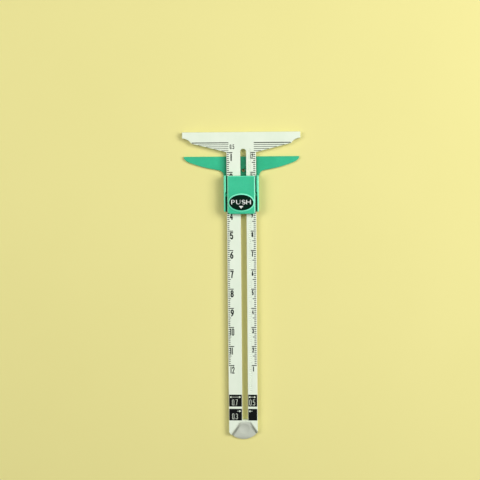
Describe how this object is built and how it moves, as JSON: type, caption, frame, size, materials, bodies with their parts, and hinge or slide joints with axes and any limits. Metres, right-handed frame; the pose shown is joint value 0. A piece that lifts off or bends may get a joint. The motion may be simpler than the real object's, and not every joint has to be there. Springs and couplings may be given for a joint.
{
  "type": "sewing gauge",
  "caption": "Sliding T gauge for sewing: slotted ruler with a crossbar, and a slider with pointed arms and a rocking push button that locks it on a fine rack.",
  "frame": {"origin": "centre of the whole gauge's footprint, on the surface that it lies on", "axes": "+Z out of the printed face, +Y along the blade towards the T crossbar, +X to the right when the scale is read"},
  "size_m": [0.06, 0.16, 0.0071],
  "materials": {
    "ruler_plastic": "white moulded plastic, semi-gloss",
    "slider_plastic": "green moulded plastic, semi-gloss",
    "button_plastic": "green moulded plastic, semi-gloss",
    "label_black": "very dark green-black, semi-gloss",
    "spring_steel": "thin spring strip"
  },
  "bodies": {
    "ruler": {"ruler_crossbar": "ruler_plastic", "ruler_left_leg": "ruler_plastic", "ruler_right_leg": "ruler_plastic", "ruler_foot": "ruler_plastic"},
    "slider": {"slider_body": "slider_plastic"},
    "button": {"push_button": "button_plastic", "push_label": "label_black", "return_spring": "spring_steel"}
  },
  "joints": [
    {"name": "slider_slide", "type": "slide", "parent": "ruler", "child": "slider", "axis": [0, -1, 0], "range_m": [-0.002, 0.108]},
    {"name": "button_rock", "type": "hinge", "parent": "slider", "child": "button", "pos_m": [0, 0.0484, 0.0043], "axis": [1, 0, 0], "range_deg": [0, 4], "stiffness_Nm_per_rad": 0.12, "springref_deg": -4.58, "deforming": ["return_spring"]}
  ]
}
